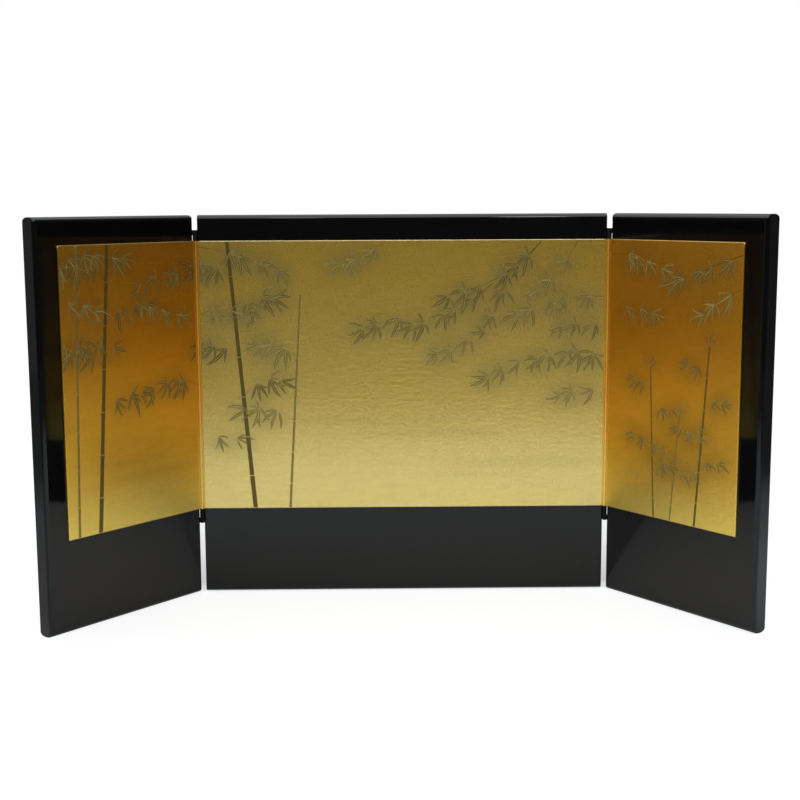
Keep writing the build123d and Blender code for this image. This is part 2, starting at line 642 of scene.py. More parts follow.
@dataclass(frozen=True)
class WoodFinish:
    """Bare softwood, with its grain along one axis of the object."""

    name: str
    color: Triple
    stretch: Triple
    ring_tone: float = 0.62
    gloss: Pair = (0.78, 0.6)
    ring_relief: float = 0.15

    def material(self) -> Material:
        """Builds the finish.

        Returns:
            The material.
        """
        draft = MaterialDraft.of(self.name)
        rings = draft.grain(draft.place(), self.stretch, detail=4.0)
        tone = draft.mix(rings, rgba(self.color, self.ring_tone), rgba(self.color))
        rough = draft.remap(rings, UNIT, self.gloss)
        return draft.wire(Base_Color=tone, Roughness=rough, Normal=draft.bump(rings, self.ring_relief))


@dataclass(frozen=True)
class InkFinish:
    """Painted strokes of metallic ink, dark or pale by the stroke's own tint, with a gold vein if asked.

    The vein's rib and rim are given as a span from the leaf's middle to its edge, and the strength at
    either end of it.
    """

    name: str
    dark: Triple
    pale: Triple
    vein: Triple | None = None
    metallic: float = 0.8
    roughness: float = 0.42
    dry_tone: Pair = (0.75, 1.15)
    dry_dark: float = 0.5
    rib: tuple[Pair, Pair] = ((0.06, 0.16), (0.75, 0.0))
    rim: tuple[Pair, Pair] = ((0.86, 0.98), (0.0, 0.6))
    speckle_scale: float = 900.0
    speckle_relief: float = 0.02

    def material(self) -> Material:
        """Builds the finish.

        Returns:
            The material, which reads the attribute tint and, for a vein, across.
        """
        draft = MaterialDraft.of(self.name)
        color = draft.mix(draft.attribute("tint"), rgba(self.dark), rgba(self.pale))
        dry = draft.grain(draft.place(), self.speckle_scale, *self.dry_tone)
        color = draft.mix(dry, rgba(self.dark, self.dry_dark), color)
        if self.vein is not None:
            across = draft.math("ABSOLUTE", draft.attribute("across"))
            rib = draft.remap(across, *self.rib, smooth=True)
            rim = draft.remap(across, *self.rim, smooth=True)
            color = draft.mix(draft.math("ADD", rib, rim, clamp=True), color, rgba(self.vein))
        relief = draft.bump(dry, self.speckle_relief)
        return draft.wire(Base_Color=color, Metallic=self.metallic, Roughness=self.roughness, Normal=relief)


# ---- The boards ----


@dataclass
class LacqueredBoard:
    """A board's whole lacquered outside: a rounded outline run along its width, eased at both ends.

    The front corner of a free end is well rounded over, that of a hinged end less, and the rest of each
    end's edge is only just broken. A side board shines as one that leans back a touch and curls in
    towards its free end.
    """

    board: Board
    sizes: ScreenSizes
    round_steps: int = 14
    end_steps: int = 7
    free_corner: float = 4.2
    hinged_corner: float = 1.6
    end_edge: float = 0.6
    side_curl: float = 1.5
    side_lean: float = 0.5

    def outline(self) -> list[tuple[Pair, Pair]]:
        """Draws the outline across the board.

        Returns:
            Its (y, z) points, each with its outward normal.
        """
        s = self.sizes
        depth = (s.thickness - s.edge_flat) / 2
        corners = (
            (depth, s.round_drop, 180.0),
            (s.thickness - depth, s.round_drop, 270.0),
            (s.thickness - depth, s.height - s.round_drop, 0.0),
            (depth, s.height - s.round_drop, 90.0),
        )
        found = []
        for y, z, start in corners:
            for i in range(self.round_steps + 1):
                a = math.radians(start + 90.0 * i / self.round_steps)
                point = (y + depth * math.cos(a), z + s.round_drop * math.sin(a))
                slope = Vector((math.cos(a) / depth, math.sin(a) / s.round_drop)).normalized()
                found.append((point, tuple(slope)))
        return found

    def end_radius(self, way: int, facing: float) -> float:
        """How much one end's edge is rounded where the outline faces this far to the back."""
        corner = self.free_corner if way == self.board.side.sign else self.hinged_corner
        return self.end_edge + (corner - self.end_edge) * max(0.0, -facing) ** 3

    def warp(self, way: int) -> Matrix:
        """Says how the curl and the lean turn the normals of one end.

        Args:
            way: -1 for the board's left end and 1 for its right end.

        Returns:
            The turn, which is none on the center board.
        """
        sign = self.board.side.sign
        curl = Matrix.Rotation(math.radians(-sign * self.side_curl if way == sign else 0.0), 3, "Z")
        return curl @ Matrix.Rotation(math.radians(-abs(sign) * self.side_lean), 3, "X")

    def build(self) -> Obj:
        """Builds the board's outside.

        Returns:
            The piece.
        """
        draft = MeshDraft()
        outline = self.outline()
        loops = []
        stations = [(-1, self.board.low, i) for i in range(self.end_steps + 1)]
        stations += [(1, self.board.high, i) for i in range(self.end_steps, -1, -1)]
        for way, end, i in stations:
            a = math.radians(90.0 * i / self.end_steps)
            out, along = math.sin(a), math.cos(a)
            eased = [(p, n, self.end_radius(way, n[0])) for p, n in outline]
            points = [
                (end - way * r * (1 - along), y - r * (1 - out) * ny, z - r * (1 - out) * nz)
                for (y, z), (ny, nz), r in eased
            ]
            warp = self.warp(way)
            normals = [tuple(warp @ Vector((way * along, ny * out, nz * out))) for _, (ny, nz) in outline]
            loops.append(draft.add_loop(points, normals))
        for a, b in zip(loops, loops[1:]):
            draft.bridge(a, b)
        draft.faces.append(tuple(reversed(loops[0])))
        draft.faces.append(tuple(loops[-1]))
        return draft.finish(f"{self.board.side.value}_lacquered_board", self.board.matrix)

    def dress(self, material: Material) -> Obj:
        """Builds the outside and stands it in for the solids under the lacquer.

        Args:
            material: The lacquer.

        Returns:
            The piece.
        """
        side = self.board.side
        stiles = ("left_stile", "right_stile") if side is Side.CENTER else ("hinge_stile", "outer_stile")
        hidden = ("front_skin", "back_skin", "top_rail", "bottom_rail", *stiles)
        obj = attach(self.build(), side.body, material)
        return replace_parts(obj, *(f"{side.value}_{name}" for name in hidden))


@dataclass
class PictureBoard:
    """A gilt board laid on a panel's front, with gold paper drawn over its soft edges."""

    board: Board
    sizes: ScreenSizes
    edge_radius: float = 0.9
    edge_steps: int = 5
    pitch: float = 3.0
    edge_turn: float = 0.95

    def build(self) -> Obj:
        """Builds the board, with a fine grid on its face for the washes.

        Returns:
            The piece.
        """
        low, high = self.board.picture_span(self.sizes)
        base, top = self.sizes.picture_low, self.sizes.picture_high
        r, front = self.edge_radius, -self.sizes.picture_thickness
        columns = max(2, round((high - low) / self.pitch))
        rows = max(2, round((top - base) / self.pitch))
        xs = np.linspace(low + r, high - r, columns + 1)
        zs = np.linspace(base + r, top - r, rows + 1)
        draft = MeshDraft()
        grid = [(x, front, z) for z in zs for x in xs]
        face = draft.add_loop(grid, [(0.0, -1.0, 0.0)] * len(grid))
        index = np.array(face).reshape(len(zs), len(xs))
        for j in range(rows):
            for i in range(columns):
                draft.faces.append((index[j, i], index[j, i + 1], index[j + 1, i + 1], index[j + 1, i]))
        # The grid's rim, all round, and which way out each of its points lies.
        rim = [(i, 0) for i in range(columns)] + [(columns, j) for j in range(rows)]
        rim += [(i, rows) for i in range(columns, 0, -1)] + [(0, j) for j in range(rows, 0, -1)]
        ways = [((i == columns) - (i == 0), (j == rows) - (j == 0)) for i, j in rim]
        last = [int(index[j, i]) for i, j in rim]
        # The soft edge, as rings that turn back from the face, and one at the back of the board.
        turns = np.linspace(0, math.pi / 2, self.edge_steps + 1)[1:]
        rings = [(r * math.sin(a), front + r * (1 - math.cos(a)), math.sin(a)) for a in turns]
        rings.append((r, 0.0, 1.0))
        for out, y, lean in rings:
            points = [(xs[i] + out * wx, y, zs[j] + out * wz) for (i, j), (wx, wz) in zip(rim, ways)]
            normals = [(lean * wx, -math.sqrt(max(0.0, 1 - lean * lean)), lean * wz) for wx, wz in ways]
            loop = draft.add_loop(points, normals)
            draft.bridge(loop, last)
            last = list(loop)
        draft.faces.append(tuple(reversed(last)))
        return draft.finish(f"{self.board.side.value}_gilt_board", self.board.matrix)

    def rim(self, local: np.ndarray) -> np.ndarray:
        """Marks the top and bottom edges, which are made paler and more matte.

        Args:
            local: Points in the board's own axes.

        Returns:
            1 on those edges, else 0.
        """
        s = self.sizes
        middle, half = (s.picture_low + s.picture_high) / 2, (s.picture_high - s.picture_low) / 2
        turned = np.abs(local[:, 2] - middle) > half - self.edge_radius * self.edge_turn
        return turned.astype(float)

    def dress(self, material: Material, wash: Callable[[np.ndarray], np.ndarray]) -> Obj:
        """Builds the board and lays the painted washes on it.

        Args:
            material: The gold finish.
            wash: Gives the wash's strength at unfolded (across, up) points in millimetres.

        Returns:
            The board.
        """
        obj = self.build()
        local = vertices(obj.data, self.board.matrix)
        across = local[:, 0] + self.board.unfolded(0.0, self.sizes)
        flat = np.stack([across, local[:, 2]], axis=1)
        store(obj.data, "sheet", np.column_stack([flat * MM, np.zeros(len(flat))]))
        store(obj.data, "wash", wash(flat))
        store(obj.data, "rim", self.rim(local))
        side = self.board.side
        attach(obj, side.body, material)
        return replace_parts(obj, f"{side.value}_picture_board", f"{side.value}_gold_paper")


# ---- The painted design ----


class Leaf(NamedTuple):
    """One painted leaf on the flat screen; its heading is in radians, and its bend picks a blade."""

    foot: Pair
    heading: float
    reach: float
    tint: float
    bend: int


class Stroke(NamedTuple):
    """One brush stroke on the flat screen: its points, half widths and tint."""

    points: tuple[Pair, ...]
    girths: tuple[float, ...]
    tint: float


class Cane(NamedTuple):
    """Where a cane stands on the flat screen, with its half width and the length of an internode."""

    foot: Pair
    top: Pair
    girth: float
    tint: float
    joint: float


class Spray(NamedTuple):
    """A twig on the flat screen, from foot past bend to tip, with fans of leaves that hang from it."""

    foot: Pair
    bend: Pair
    tip: Pair
    girth: float
    tint: float
    fans: int
    size: float


class Mist(NamedTuple):
    """A long low bank of mist on the flat screen."""

    x: float
    z: float
    long: float
    tall: float
    strength: float


CANES = (
    Cane((-398, 90), (-389, 402), 1.9, 0.75, 40.0),
    Cane((-371, 90), (-349, 402), 3.1, 0.10, 47.0),
    Cane((-128, 90), (-113, 338), 1.7, 0.80, 38.0),
    Cane((-166, 90), (-193, 402), 2.9, 0.12, 46.0),
    Cane((300, 90), (291, 262), 1.5, 0.35, 30.0),
    Cane((322, 90), (333, 214), 1.2, 0.65, 26.0),
    Cane((356, 90), (371, 290), 1.8, 0.15, 33.0),
)
SPRAYS = (
    Spray((158, 402), (122, 352), (52, 334), 0.8, 0.10, 6, 1.0),
    Spray((128, 366), (104, 330), (92, 296), 0.5, 0.25, 3, 0.9),
    Spray((98, 348), (60, 312), (12, 302), 0.6, 0.18, 5, 1.0),
    Spray((196, 402), (178, 362), (148, 340), 0.5, 0.55, 3, 0.9),
    Spray((232, 262), (196, 282), (150, 264), 0.6, 0.35, 5, 0.95),
    Spray((232, 226), (204, 238), (176, 222), 0.4, 0.70, 3, 0.85),
    Spray((-226, 168), (-206, 186), (-186, 176), 0.4, 0.65, 2, 0.8),
    Spray((418, 386), (372, 372), (322, 352), 0.7, 0.20, 5, 0.95),
    Spray((418, 352), (388, 344), (362, 322), 0.5, 0.60, 3, 0.85),
    Spray((-226, 352), (-262, 372), (-306, 352), 0.5, 0.40, 4, 0.9),
    Spray((-226, 236), (-252, 254), (-290, 240), 0.5, 0.30, 4, 0.9),
    Spray((-10, 402), (-34, 380), (-70, 370), 0.5, 0.60, 3, 0.85),
    Spray((-226, 314), (-204, 328), (-176, 316), 0.5, 0.50, 3, 0.85),
    Spray((-226, 390), (-176, 384), (-138, 362), 0.5, 0.35, 4, 0.9),
    Spray((-418, 378), (-384, 390), (-330, 380), 0.5, 0.45, 5, 0.9),
    Spray((-418, 340), (-396, 344), (-368, 328), 0.4, 0.65, 3, 0.85),
    Spray((-418, 292), (-384, 302), (-346, 290), 0.5, 0.25, 4, 0.9),
    Spray((-330, 330), (-300, 334), (-256, 318), 0.4, 0.55, 4, 0.9),
    Spray((20, 322), (-10, 304), (-44, 300), 0.4, 0.30, 3, 0.9),
    Spray((232, 332), (184, 338), (128, 314), 0.5, 0.45, 5, 0.9),
    Spray((232, 300), (208, 308), (178, 300), 0.4, 0.25, 3, 0.9),
    Spray((150, 266), (122, 262), (96, 246), 0.4, 0.45, 3, 0.85),
    Spray((92, 300), (66, 280), (40, 270), 0.4, 0.60, 3, 0.85),
    Spray((232, 380), (262, 384), (304, 366), 0.5, 0.40, 4, 0.9),
    Spray((232, 318), (258, 330), (292, 318), 0.4, 0.30, 3, 0.85),
)
MISTS = (
    Mist(-300, 150, 74, 6, 0.20),
    Mist(-330, 166, 50, 5, 0.15),
    Mist(-30, 196, 95, 6, 0.16),
    Mist(36, 182, 80, 5, 0.20),
    Mist(130, 148, 86, 6, 0.18),
    Mist(84, 134, 60, 4, 0.13),
    Mist(352, 318, 62, 5, 0.16),
    Mist(270, 196, 48, 5, 0.14),
)


def arc(a: Pair, b: Pair, c: Pair, count: int) -> list[Pair]:
    """Makes points along a soft curve.

    Args:
        a: Where it starts.
        b: The point that it leans towards.
        c: Where it ends.
        count: How many points it gets.

    Returns:
        The points.
    """
    spots = []
    for i in range(count):
        t = i / (count - 1)
        spots.append(tuple((1 - t) ** 2 * p + 2 * t * (1 - t) * q + t * t * r for p, q, r in zip(a, b, c)))
    return spots


@dataclass
class BambooGrove:
    """Bamboo laid out across the flat screen: canes, hanging sprays and thin mist.

    An internode is drawn by places along it, each with its share of the cane's half width. The twigs of
    young and of grown canes are given by the size of their leaves and how far out and up they reach.
    """

    seed: int = 11
    leaf_reach: float = 27.0
    leaf_bends: int = 3
    leaf_turn: float = 0.10
    leaf_lengths: Pair = (0.82, 1.12)
    leaf_shade: float = 0.13
    fan_spread: Pair = (24.0, 17.0)
    fan_counts: tuple[int, ...] = (3, 4, 4, 5)
    fan_taper: float = 0.55
    fan_sizes: Pair = (0.85, 1.1)
    twig_points: int = 9
    twig_taper: float = 0.07
    twig_shade: float = 0.5
    twig_girth: float = 0.45
    twig_far: Pair = (0.8, 1.2)
    twig_tall: Pair = (0.7, 1.2)
    twig_bend: float = 0.45
    twig_fall: float = 0.72
    lush: float = 0.8
    upright_lean: float = 0.25
    upright_size: float = 0.7
    upright_tint: float = 0.1
    droop: float = 34.0
    droop_spread: float = 16.0
    tip_lift: float = 30.0
    internode: tuple[Pair, ...] = ((0.0, 1.05), (0.06, 0.93), (0.5, 0.88), (0.94, 0.94), (1.0, 1.1))
    cane_taper: float = 0.3
    joint_gap: float = 0.5
    ring_reach: float = 1.25
    ring_rise: float = 0.35
    ring_girths: Triple = (0.3, 0.42, 0.3)
    ring_tint: float = 0.45
    young_twigs: Triple = (0.66, 26.0, 17.0)
    grown_twigs: Triple = (0.95, 48.0, 24.0)
    crown_heading: float = 80.0
    crown_size: float = 0.6
    haze_reach: float = 8.5
    haze_strength: float = 0.26
    haze_limit: float = 0.62
    mist_gain: float = 1.6
    strokes: list[Stroke] = field(default_factory=list)
    leaves: list[Leaf] = field(default_factory=list)

    def __post_init__(self) -> None:
        """Draws the whole layout with a fixed seed."""
        self.rng = random.Random(self.seed)
        for cane in CANES:
            self.stand(cane)
        for spray in SPRAYS:
            self.twig(spray)

    def fan(self, foot: Pair, heading: float, count: int, reach: float, tint: float) -> None:
        """Adds a fan of leaves, the middle ones longest, all from about one foot.

        Args:
            foot: Where the leaves start.
            heading: The way that the middle of the fan points, in radians.
            count: How many leaves it has.
            reach: The length of its longest leaves.
            tint: Its tint, which varies a little from leaf to leaf.
        """
        spread = math.radians(self.fan_spread[0] + self.fan_spread[1] * count)
        for i in range(count):
            off = i / (count - 1) - 0.5
            turn = heading + spread * off + self.rng.uniform(-self.leaf_turn, self.leaf_turn)
            length = reach * (1.0 - self.fan_taper * abs(off)) * self.rng.uniform(*self.leaf_lengths)
            spot = (foot[0] + self.rng.uniform(-1.0, 1.0), foot[1] + self.rng.uniform(-1.0, 1.0))
            shade = min(1.0, max(0.0, tint + self.rng.uniform(-self.leaf_shade, self.leaf_shade)))
            self.leaves.append(Leaf(spot, turn, length, shade, self.rng.randrange(self.leaf_bends)))

    def twig(self, plan: Spray) -> None:
        """Adds a thin twig with fans of leaves that hang along it and at its tip.

        Args:
            plan: Where it goes and how leafy it is.
        """
        path = arc(plan.foot, plan.bend, plan.tip, self.twig_points)
        girths = tuple(plan.girth * (1 - self.twig_taper * i) for i in range(self.twig_points))
        self.strokes.append(Stroke(tuple(path), girths, plan.tint * self.twig_shade))
        for k in range(plan.fans):
            i = self.twig_points - 1 - round(k * (self.twig_points - 2.0) / plan.fans)
            way = 1 if path[i][0] > path[max(0, i - 2)][0] else -1
            sway = self.rng.uniform(-self.droop_spread, self.droop_spread)
            lean = math.radians(-90 + way * self.droop + sway)
            lift = way * math.radians(self.tip_lift) if k == 0 else 0.0
            reach = self.leaf_reach * plan.size * self.rng.uniform(*self.fan_sizes)
            self.fan(path[i], lean + lift, self.rng.choice(self.fan_counts), reach, plan.tint)
            if k % 2 and plan.size > self.lush:
                upward = -lean * self.upright_lean if way > 0 else math.pi + lean * self.upright_lean
                self.fan(path[i], upward, 2, reach * self.upright_size, plan.tint + self.upright_tint)

    def cane(self, plan: Cane) -> list[Pair]:
        """Adds a jointed cane.

        Args:
            plan: Where it stands and how thick it is.

        Returns:
            The places of its joints, from the foot up.
        """
        foot, run = Vector(plan.foot), Vector(plan.top) - Vector(plan.foot)
        count = max(1, round(run.length / plan.joint))
        way = run.normalized()
        across = Vector((way.y, -way.x))
        pale = min(1.0, plan.tint + self.ring_tint)
        spots = []
        for i in range(count):
            low = foot + run * (i / count) + way * self.joint_gap
            high = foot + run * ((i + 1) / count) - way * self.joint_gap
            wide = plan.girth * (1 - self.cane_taper * i / count)
            points = tuple(tuple(low.lerp(high, t)) for t, _ in self.internode)
            widths = tuple(wide * share for _, share in self.internode)
            self.strokes.append(Stroke(points, widths, plan.tint))
            if i < count - 1:
                spot = high + way * self.joint_gap
                half = across * wide * self.ring_reach
                ring = (spot - half, spot + way * self.ring_rise, spot + half)
                self.strokes.append(Stroke(tuple(tuple(v) for v in ring), self.ring_girths, pale))
                spots.append(tuple(spot))
        return spots

    def stand(self, plan: Cane) -> None:
        """Adds a cane with twigs at its joints; the young canes on the right are smaller and end in a fan.

        Args:
            plan: Where it stands and how thick it is.
        """
        young = plan.foot[0] > 0
        size, far, tall = self.young_twigs if young else self.grown_twigs
        for i, (x, z) in enumerate(self.cane(plan)):
            if i < 2 - young or (not young and plan.tint > 0.5 and i % 2):
                continue
            way = 1 if (i + (plan.girth > 2)) % 2 else -1
            out, up = far * self.rng.uniform(*self.twig_far), tall * self.rng.uniform(*self.twig_tall)
            bend, tip = (x + way * out * self.twig_bend, z + up), (x + way * out, z + up * self.twig_fall)
            tint = plan.tint * 0.8 + 0.08
            self.twig(Spray((x, z), bend, tip, self.twig_girth, tint, 2 + (not young), size))
        if young:
            heading, reach = math.radians(self.crown_heading), self.leaf_reach * self.crown_size
            self.fan(plan.top, heading, 3, reach, plan.tint)

    def wash(self, flat: np.ndarray) -> np.ndarray:
        """Says how strongly the painted haze lies round the leaves and in the mist.

        Args:
            flat: Points on the flat screen.

        Returns:
            The strength at each point, from 0 to 1.
        """
        total = np.zeros(len(flat))
        for leaf in self.leaves:
            x = leaf.foot[0] + math.cos(leaf.heading) * leaf.reach * 0.5
            z = leaf.foot[1] + math.sin(leaf.heading) * leaf.reach * 0.5
            away = (flat[:, 0] - x) ** 2 + (flat[:, 1] - z) ** 2
            total += self.haze_strength * np.exp(-away / (2 * self.haze_reach**2))
        for mist in MISTS:
            reach = ((flat[:, 0] - mist.x) / mist.long) ** 4 + ((flat[:, 1] - mist.z) / mist.tall) ** 2
            total += mist.strength * self.mist_gain * np.exp(-reach)
        return self.haze_limit * (1.0 - np.exp(-total))


@dataclass
class PaintTree(Wiring):
    """A geometry node tree that turns the layout into thin raised paint."""

    ins: bpy.types.NodeOutputs

    @classmethod
    def of(cls, name: str, inputs: Sequence[str]) -> PaintTree:
        """Starts a tree.

        Args:
            name: The tree's name.
            inputs: The names of its sizes, which come after the geometry and before the material.

        Returns:
            The tree, with its inputs.
        """
        tree = bpy.data.node_groups.new(name, "GeometryNodeTree")
        face = tree.interface
        face.new_socket("Geometry", in_out="INPUT", socket_type="NodeSocketGeometry")
        for label in inputs:
            face.new_socket(label, in_out="INPUT", socket_type="NodeSocketFloat")
        face.new_socket("Material", in_out="INPUT", socket_type="NodeSocketMaterial")
        face.new_socket("Geometry", in_out="OUTPUT", socket_type="NodeSocketGeometry")
        return cls(tree, tree.nodes.new("NodeGroupInput").outputs)

    def attribute(self, name: str, kind: str = "FLOAT") -> Socket:
        """Reads a named attribute."""
        node = self.add("GeometryNodeInputNamedAttribute", {"Name": name}, data_type=kind)
        return node.outputs["Attribute"]

    def position(self) -> bpy.types.NodeOutputs:
        """The points' places, as outputs by name X, Y and Z."""
        return self.split(self.out("GeometryNodeInputPosition"))

    def moved(self, geometry: Socket, x: Socket, y: float | Socket, z: Socket) -> Socket:
        """Moves a geometry's points to new places."""
        return self.out("GeometryNodeSetPosition", {"Geometry": geometry, "Position": self.join(x, y, z)})

    def together(self, parts: Iterable[Socket]) -> Socket:
        """Joins geometries.

        Args:
            parts: The geometries.

        Returns:
            All of them as one.
        """
        node = self.add("GeometryNodeJoinGeometry")
        for part in parts:
            self.feed(node.inputs[0], part)
        return node.outputs[0]

    def finish(self, geometry: Socket) -> Tree:
        """Makes the instances real, sets the material and ends the tree.

        Args:
            geometry: The tree's result.

        Returns:
            The tree.
        """
        real = self.out("GeometryNodeRealizeInstances", {"Geometry": geometry})
        dressed = self.out("GeometryNodeSetMaterial", {"Geometry": real, "Material": self.ins["Material"]})
        self.add("NodeGroupOutput", {"Geometry": dressed})
        return self.tree


class LeafSpray:
    """The tree that sets a creased leaf on every point."""

    BENDS = (-0.09, 0.0, 0.09)
    STATIONS = 9
    FULLNESS = 2.67
    FOOT_TAPER = 0.6
    TIP_TAPER = 0.85
    WELD = 0.02 * MM

    @classmethod
    def blades(cls, draft: PaintTree) -> Socket:
        """Makes a closed blade a metre long for each bend, from the origin along X.

        Args:
            draft: The tree.

        Returns:
            The blades, as instances to pick from.
        """
        size = {"Size X": 1.0, "Size Y": 2.0, "Vertices X": cls.STATIONS, "Vertices Y": 3}
        grid = draft.out("GeometryNodeMeshGrid", size)
        spot = draft.position()
        marks = {"Geometry": grid, "Name": "across", "Value": spot["Y"]}
        blade = draft.out("GeometryNodeStoreNamedAttribute", marks, data_type="FLOAT", domain="POINT")
        along = draft.math("ADD", spot["X"], 0.5, clamp=True)
        rest = draft.math("SUBTRACT", 1.0, along)
        foot = draft.math("POWER", along, cls.FOOT_TAPER)
        lens = draft.times(foot, draft.math("POWER", rest, cls.TIP_TAPER))
        wide = draft.times(draft.times(draft.times(lens, cls.FULLNESS), draft.ins["Leaf Width"]), spot["Y"])
        crown = draft.math("SUBTRACT", 1.0, draft.math("ABSOLUTE", spot["Y"]))
        rise = draft.times(draft.times(crown, draft.ins["Crease Height"]), -1.0)
        hump = draft.times(along, rest)
        kinds = []
        for bend in reversed(cls.BENDS):
            side = draft.math("MULTIPLY_ADD", hump, bend * 4.0, wide)
            front = draft.moved(blade, along, rise, side)
            back = draft.out("GeometryNodeFlipFaces", {"Mesh": draft.moved(blade, along, 0.0, side)})
            welded = {"Geometry": draft.together((front, back)), "Distance": cls.WELD}
            closed = draft.out("GeometryNodeMergeByDistance", welded)
            kinds.append(draft.out("GeometryNodeGeometryToInstance", {"Geometry": closed}))
        return draft.together(kinds)

    @classmethod
    def tree(cls) -> Tree:
        """Builds the tree.

        Returns:
            The tree, whose points carry the attributes heading, reach, tint and bend.
        """
        draft = PaintTree.of("leaf_spray", ("Leaf Width", "Crease Height"))
        turn = draft.join(0.0, draft.times(draft.attribute("heading"), -1.0), 0.0)
        reach = draft.attribute("reach")
        placed = {
            "Points": draft.ins["Geometry"],
            "Instance": cls.blades(draft),
            "Pick Instance": True,
            "Instance Index": draft.attribute("bend", "INT"),
            "Rotation": draft.out("FunctionNodeEulerToRotation", {0: turn}),
            "Scale": draft.join(reach, 1.0, reach),
        }
        return draft.finish(draft.out("GeometryNodeInstanceOnPoints", placed))


class BrushedStroke:
    """The tree that runs a flattened bead of paint along every line."""

    SMOOTHNESS = 4
    SIDES = 8

    @classmethod
    def tree(cls) -> Tree:
        """Builds the tree.

        Returns:
            The tree, whose lines carry the attributes girth and tint.
        """
        draft = PaintTree.of("brushed_stroke", ("Flatness",))
        curve = draft.out("GeometryNodeMeshToCurve", {"Mesh": draft.ins["Geometry"]})
        soft = draft.out("GeometryNodeCurveSplineType", {"Curve": curve}, spline_type="CATMULL_ROM")
        fine = draft.out("GeometryNodeSetSplineResolution", {"Geometry": soft, "Resolution": cls.SMOOTHNESS})
        ring = draft.out("GeometryNodeCurvePrimitiveCircle", {"Resolution": cls.SIDES, "Radius": 1.0})
        run = {"Curve": fine, "Profile Curve": ring, "Scale": draft.attribute("girth"), "Fill Caps": True}
        bead = draft.out("GeometryNodeCurveToMesh", run)
        spot = draft.position()
        depth = draft.times(spot["Y"], draft.ins["Flatness"])
        return draft.finish(draft.moved(bead, spot["X"], depth, spot["Z"]))


